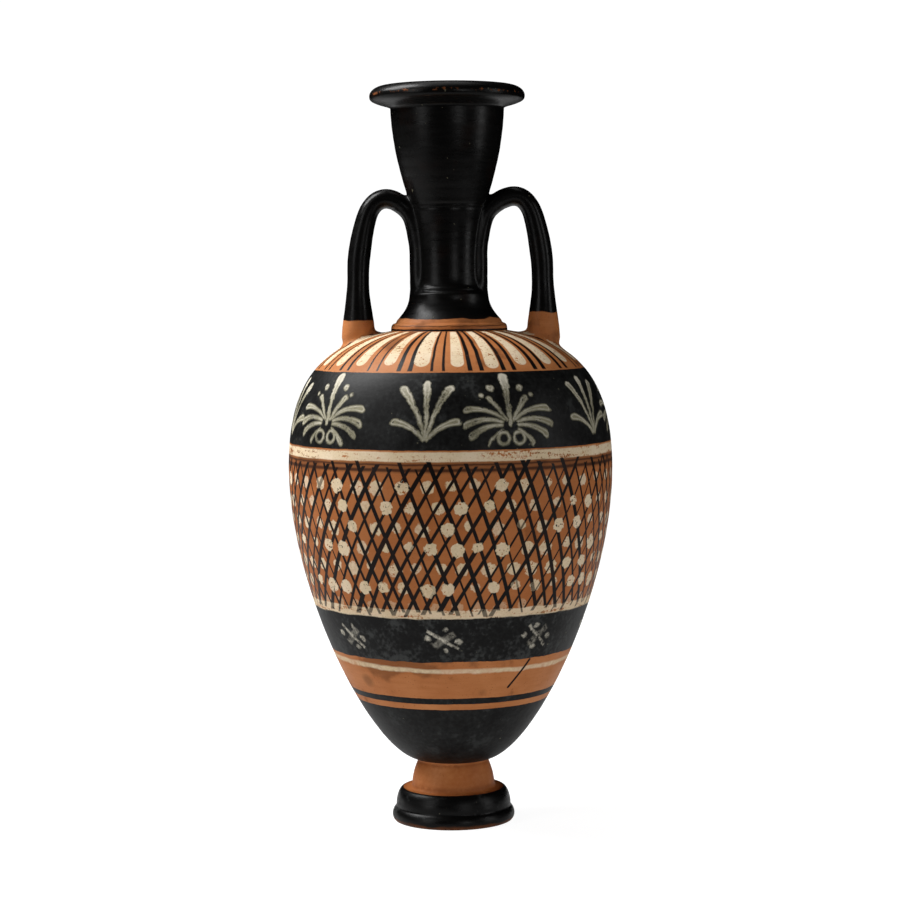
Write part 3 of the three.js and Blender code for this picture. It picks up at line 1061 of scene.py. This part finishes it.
def black_areas(f):
    """Where the black glaze lies on the foot, body and bands, and where it lies on the neck and straps."""
    lower = larger(
        strip(f.straight, FOOT_GLAZE, 0.3), strip(f.straight, LOWER_FIELD), strip(f.straight, LOWER_LINE),
        strip(f.loose, ROSETTE_BAND), strip(f.straight, SPRAY_BAND),
    )
    height = f.height + f.grains(0.0, hand=1.2, fine=0.2) + f.turn.math("SIGN") * STRAP_GLAZE_STEP
    on_straps = f.strap * (STRAP_GLAZE - height).inside(0.3)
    on_neck = (COLLAR_GLAZE - f.along - f.grains(0.0, hand=2.2, fine=0.25)).inside(0.3) * f.jar
    return lower * f.jar, (on_straps + on_neck).math("MINIMUM", 1.0)


def lay_black(f, coat, paint, lower, upper, tongue_line):
    """The black glaze, thinner by patches, the brush lines on the shoulder and the collar, and painted
    shade in the bead's groove.
    """
    body_tone = f.mottle(0.12, patch=0.8, fine=0.7)
    coat.lay(lower, blend_colours(f.tree, body_tone, paint.glaze, paint.scuff), 0.46)
    coat.lay(strip(f.straight, FOOT_GLAZE, 0.3) * f.jar, paint.glaze, f.grains(0.33, streak=0.4))
    neck_tone = f.mottle(-0.03, patch=0.5)
    neck_glaze = blend_colours(f.tree, neck_tone, paint.glaze, paint.thin_glaze)
    coat.lay(upper, neck_glaze, f.grains(0.31, streak=0.25))
    seam_line = line_across(f.seam, SEAM_LINE_FROM_JOINT, 0.5, 0.25)
    seam_line = seam_line * (f.along - SEAM_LINE_TOP).inside(0.3)
    # With the brush lines goes a painted shade: a thin dark wavy line in the bead's groove
    brush_lines_and_groove_shade = larger(
        seam_line * 0.8, tongue_line, line_across(f.straight, COLLAR_LINE, 0.5),
        line_across(f.loose, BEAD_GROOVE, 0.25) * 0.7,
    )
    coat.lay(brush_lines_and_groove_shade * f.jar, brush_and_shade_black(f, paint), 0.4)


def brush_and_shade_black(f, paint):
    """Thin brush glaze, brown where it's thinnest. The painted shade in the bead's groove takes this colour
    too.
    """
    return blend_colours(f.tree, f.mottle(0.12, patch=0.9, streak=0.6), paint.glaze, paint.thin_glaze)


def lay_slip_and_net(f, coat, paint, lower, upper):
    """The lower dots, then the black glaze, and over it the cream tongues, strips, net and upper dots."""
    slip_tone = f.mottle(0.35, patch=1.6, speck=1.2, streak=0.8)
    slip = blend_colours(f.tree, slip_tone, paint.cream, paint.yellow)
    # Painted sheen: the dots turn paler towards the sides and yellower at the front, over a tone that
    # varies at random
    dot_tone_and_sheen = f.mottle(-0.3, patch=1.2, speck=1.6, front=0.9)
    dot_slip_and_sheen = blend_colours(f.tree, dot_tone_and_sheen, paint.cream, paint.yellow)
    worn = f.grains(-0.21, streak=0.4, speck=1.1, fine=0.9).inside(0.1)
    band_worn = f.grains(-0.21, streak=1.3, speck=0.8, fine=0.9).inside(0.2)
    tongue, tongue_line = shoulder_tongues(f, paint.tongues, f.hand)
    rising = net_lines(f, paint.net_rising, *RISING_LINES)
    falling = net_lines(f, paint.net_falling, *FALLING_LINES)
    net = larger(rising, falling) * (f.patch - 0.42).inside(0.2)
    dot, dot_over = net_dots(f, paint.dots, f.fine)

    coat.lay(dot * worn * f.mottle(0.9, patch=0.9, fine=0.8), dot_slip_and_sheen, SLIP_ROUGHNESS)
    lay_black(f, coat, paint, lower, upper, tongue_line)
    coat.lay(tongue * worn * f.jar, slip, SLIP_ROUGHNESS)
    coat.lay(strip(f.straight, NET_UPPER_EDGE, 0.3) * band_worn * f.jar, slip, SLIP_ROUGHNESS)
    coat.lay(net * f.jar, brush_and_shade_black(f, paint), 0.42)
    coat.lay(dot_over * worn, dot_slip_and_sheen, SLIP_ROUGHNESS)
    low_edge = strip(f.loose, NET_LOWER_EDGE, 0.3) * band_worn * (net * -0.75 + 1.0)
    coat.lay(low_edge * f.jar, slip, SLIP_ROUGHNESS, strength=0.92)
    wave = f.loose + f.grains(0.0, front=0.9, right=0.5)
    wavy = strip(wave, WAVY_LINE, 0.5) * f.mottle(0.7, patch=1.2, fine=0.8)
    coat.lay(wavy * f.jar, slip, SLIP_ROUGHNESS)


def lay_sprays_and_rosettes(f, coat, paint):
    """The pale worn motifs over the two black bands, with paler edges where the brush left more slip."""
    rough = f.grains(0.0, hand=1.1, fine=1.0)
    toward_tips = (f.along - SPRAY_BAND[0]) * 0.022
    tone = (f.grains(0.42, patch=1.8, speck=1.4) - toward_tips).clamped()
    olive = blend_colours(f.tree, tone, paint.faded, shade(paint.faded, 0.45))
    shape = smaller(fans(f, paint.sprays, rough), palmettes(f, paint.sprays, rough))
    whole = f.mottle(0.82, patch=2.0, speck=1.4) * f.grains(-0.22, fine=1.3, speck=1.0).inside(0.2)
    band = strip(f.along, SPRAY_BAND) * f.jar
    coat.lay(shape.inside(0.5) * whole * band, olive, 0.8)
    paler = (f.grains(0.25, patch=2.0, fine=1.6) + toward_tips).clamped()
    edges = line_across(shape, -0.42, 0.32, 0.35) * paler
    near_tip = ((f.along - PETAL_TIPS) * 0.2 + f.grains(0.0, patch=2.6, speck=1.5)).clamped()
    tips = shape.inside(0.4) * near_tip
    coat.lay((edges + tips * 0.8).clamped() * band, paint.chalk, SLIP_ROUGHNESS)

    thin, broad, spots = rosettes(f, paint.rosettes, rough)
    faint = f.mottle(0.5, patch=1.4, speck=1.2, fine=1.6) * strip(f.loose, ROSETTE_BAND) * f.jar
    coat.lay(broad.inside(0.6) * faint, paint.chalk, 0.8, strength=0.45)
    coat.lay(thin.inside(0.4) * faint, paint.chalk, 0.8)
    coat.lay(spots.inside(0.5) * faint, shade(paint.chalk, 0.9), 0.8, strength=1.2)


def lay_wear(f, coat, paint, lower, upper):
    """Grey scuffs on the black, scratches, pale specks, and clay rubbed bare at the lip and the foot."""
    scuffed = f.grains(0.17, patch=-1.0, fine=-0.5).inside(0.12) * lower
    coat.lay(scuffed, paint.scuff, DIRT_AND_SHADE_ROUGHNESS, strength=0.6)
    grey = f.grains(0.10, patch=-1.3, fine=-0.9).inside(0.2) * strip(f.loose, ROSETTE_BAND)
    coat.lay(grey, shade(paint.scuff, 2.2), DIRT_AND_SHADE_ROUGHNESS, strength=0.35)
    scrape = line_across(f.straight, SHOULDER_SCRAPE, 0.12, 0.2) * f.mottle(0.3, patch=2.0)
    coat.lay(scrape * f.jar, shade(paint.clay_deep, 0.6), 0.75)
    lay_sprays_and_rosettes(f, coat, paint)
    coat.lay(stroke_between(f, SCRATCH_START, SCRATCH_END, SCRATCH_HALF), paint.glaze, 0.6)
    specks = (0.28 - f.grain(1.3, 1, shift=1.7)).inside(0.03) * larger(lower, upper)
    coat.lay(specks, paint.faded, 0.8, strength=0.22)
    lip_edge = line_across(f.height + f.hand * 0.8, LIP_RUBBED, 0.6, 0.4)
    lip_edge = lip_edge * (LIP_RUBBED_RADIUS - f.radius).inside(0.3)
    chipped = lip_edge * f.grains(0.2, patch=-1.6, fine=-1.6, speck=-0.6).inside(0.2)
    foot_edge = (f.height + f.grains(-FOOT_RUBBED, hand=1.2, fine=0.8)).inside(0.6)
    rubbed = foot_edge * (FOOT_RUBBED_RADIUS - f.radius).inside(0.3) * f.mottle(0.55, patch=1.3, fine=1.0)
    coat.lay(larger(chipped, rubbed), shade(paint.clay_deep, 0.6), 0.75, strength=0.8)


def painted_clay(paint):
    """Fired clay with its glaze, slip and wear."""
    material = bpy.data.materials.new("painted_terracotta")
    material.use_nodes = True
    tree = material.node_tree
    shader = tree.nodes["Principled BSDF"]
    f = Surface(tree)
    coat = fired_clay(f, paint)
    lower, upper = black_areas(f)
    lay_slip_and_net(f, coat, paint, lower, upper)
    lay_wear(f, coat, paint, lower, upper)

    shader.inputs["Specular IOR Level"].default_value = GLAZE_SHINE
    tree.links.new(coat.colour, shader.inputs["Base Color"])
    feed(tree, shader.inputs["Roughness"], coat.roughness)
    relief = tree.nodes.new("ShaderNodeBump")
    relief.inputs["Strength"].default_value = RELIEF_STRENGTH
    relief.inputs["Distance"].default_value = RELIEF_DEPTH * MM
    feed(tree, relief.inputs["Height"], f.grains(0.0, streak=0.3, fine=0.5, speck=0.25))
    tree.links.new(relief.outputs[0], shader.inputs["Normal"])
    return material


# Studio

CAMERA_PLACE = (0.0004, -0.649, 0.145)
CAMERA_PITCH = -3.82
CAMERA_ROLL = 0.56
LENS = 95.2
SENSOR_WIDTH = 36
WORLD_GLOW = 1.05
FLOOR_GREY = 0.35
LIGHTS_AIM = (0, 0, 0.1)
FLOOR_EDGES = ((-0.8, -0.28), (0.35, 0.6))
FLOOR_DROP = 0.05
FLOOR_GLOW_SEEN = 0.94
FLOOR_GLOW_CAST = 0.36

# Each soft light's place, its width and height, and its power
SOFTBOXES = {
    "top_left": ((-0.50, 0.10, 0.75), (0.4, 0.5), 9.2),
    "top": ((-0.10, 0.20, 0.90), (0.6, 0.6), 1.2),
    "left_front": ((-0.66, -0.52, 0.35), (0.3, 0.6), 1.5),
    "front_low_right": ((0.38, -0.85, 0.22), (0.25, 0.30), 0.7),
    "right": ((0.82, -0.24, 0.28), (0.18, 0.6), 1.3),
}


def build_camera():
    camera = bpy.data.objects.new("camera", bpy.data.cameras.new("camera"))
    camera.data.lens = LENS
    camera.data.sensor_width = SENSOR_WIDTH
    camera.location = CAMERA_PLACE
    camera.rotation_euler = (math.radians(90 + CAMERA_PITCH), math.radians(CAMERA_ROLL), 0)
    bpy.context.scene.collection.objects.link(camera)
    bpy.context.scene.camera = camera


def soft_light(name, place, extent, power):
    """A soft rectangular light that faces the jar."""
    lamp = bpy.data.lights.new(name, "AREA")
    lamp.shape, lamp.energy = "RECTANGLE", power
    lamp.size, lamp.size_y = extent
    holder = bpy.data.objects.new(name, lamp)
    holder.location = place
    aim = Vector(LIGHTS_AIM) - Vector(place)
    holder.rotation_euler = aim.to_track_quat("-Z", "Y").to_euler()
    bpy.context.scene.collection.objects.link(holder)


def seen_by_camera(tree):
    """1 for what the camera sees directly, 0 for light that reaches the jar."""
    return Field(tree, tree.nodes.new("ShaderNodeLightPath").outputs["Is Camera Ray"])


def build_world():
    """A white background that casts no light of its own."""
    world = bpy.data.worlds.new("studio")
    world.use_nodes = True
    tree = world.node_tree
    back = tree.nodes["Background"]
    back.inputs["Color"].default_value = (1, 1, 1, 1)
    feed(tree, back.inputs["Strength"], seen_by_camera(tree) * WORLD_GLOW)
    bpy.context.scene.world = world


def build_floor():
    """A plain white table that the jar stands on. It ends close in front, so the glaze stays dark there."""
    (left, near), (right, far) = FLOOR_EDGES
    corners = np.array([(left, near, 0), (right, near, 0), (right, far, 0), (left, far, 0)]) / MM
    floor = new_object("floor", corners - (0, 0, FLOOR_DROP), [(0, 1, 2, 3)])
    material = bpy.data.materials.new("white_table")
    material.use_nodes = True
    tree = material.node_tree
    shader = tree.nodes["Principled BSDF"]
    shader.inputs["Base Color"].default_value = (FLOOR_GREY, FLOOR_GREY, FLOOR_GREY, 1)
    shader.inputs["Roughness"].default_value = 0.9
    shader.inputs["Specular IOR Level"].default_value = 0.0
    shader.inputs["Emission Color"].default_value = (1, 1, 1, 1)
    glow = seen_by_camera(tree) * (FLOOR_GLOW_SEEN - FLOOR_GLOW_CAST) + FLOOR_GLOW_CAST
    feed(tree, shader.inputs["Emission Strength"], glow)
    floor.data.materials.append(material)


class AMPHORISKOS_OT_jar(bpy.types.Operator):
    """Build the painted jar in place of its plain solid"""

    bl_idname = "amphoriskos.jar"
    bl_label = "Build the jar"

    def execute(self, context):
        jar = build_jar_mesh(context.scene.jar_sizes)
        if not jar.data.polygons:
            raise RuntimeError("the jar has no faces: its handles and body didn't join")
        jar.data.materials.append(painted_clay(context.scene.jar_paint))
        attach(jar, "root")
        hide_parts(NODE)
        return {"FINISHED"}


class AMPHORISKOS_OT_stage(bpy.types.Operator):
    """Set up the floor, the light and the camera"""

    bl_idname = "amphoriskos.stage"
    bl_label = "Set up the studio"

    def execute(self, context):
        build_camera()
        build_world()
        build_floor()
        for name, (place, extent, power) in SOFTBOXES.items():
            soft_light(name, place, extent, power)
        context.scene.view_settings.view_transform = "Standard"
        return {"FINISHED"}


class AMPHORISKOS_PT_panel(bpy.types.Panel):
    """Lists the jar's builders, sizes and colours"""

    bl_idname = "AMPHORISKOS_PT_panel"
    bl_label = "Amphoriskos"
    bl_space_type = "VIEW_3D"
    bl_region_type = "UI"
    bl_category = "Amphoriskos"

    def draw(self, context):
        for step in STEPS:
            self.layout.operator(step.bl_idname)
        for group in (context.scene.jar_sizes, context.scene.jar_paint):
            for name in group.__annotations__:
                self.layout.prop(group, name)


STEPS = (AMPHORISKOS_OT_jar, AMPHORISKOS_OT_stage)
CLASSES = (JarSizes, PaintSettings, *STEPS, AMPHORISKOS_PT_panel)


def register():
    for kind in CLASSES:
        bpy.utils.register_class(kind)
    bpy.types.Scene.jar_sizes = bpy.props.PointerProperty(type=JarSizes)
    bpy.types.Scene.jar_paint = bpy.props.PointerProperty(type=PaintSettings)


def unregister():
    del bpy.types.Scene.jar_paint
    del bpy.types.Scene.jar_sizes
    for kind in reversed(CLASSES):
        bpy.utils.unregister_class(kind)


def main():
    register()
    bpy.ops.amphoriskos.jar()
    bpy.ops.amphoriskos.stage()


if __name__ == "__main__":
    main()
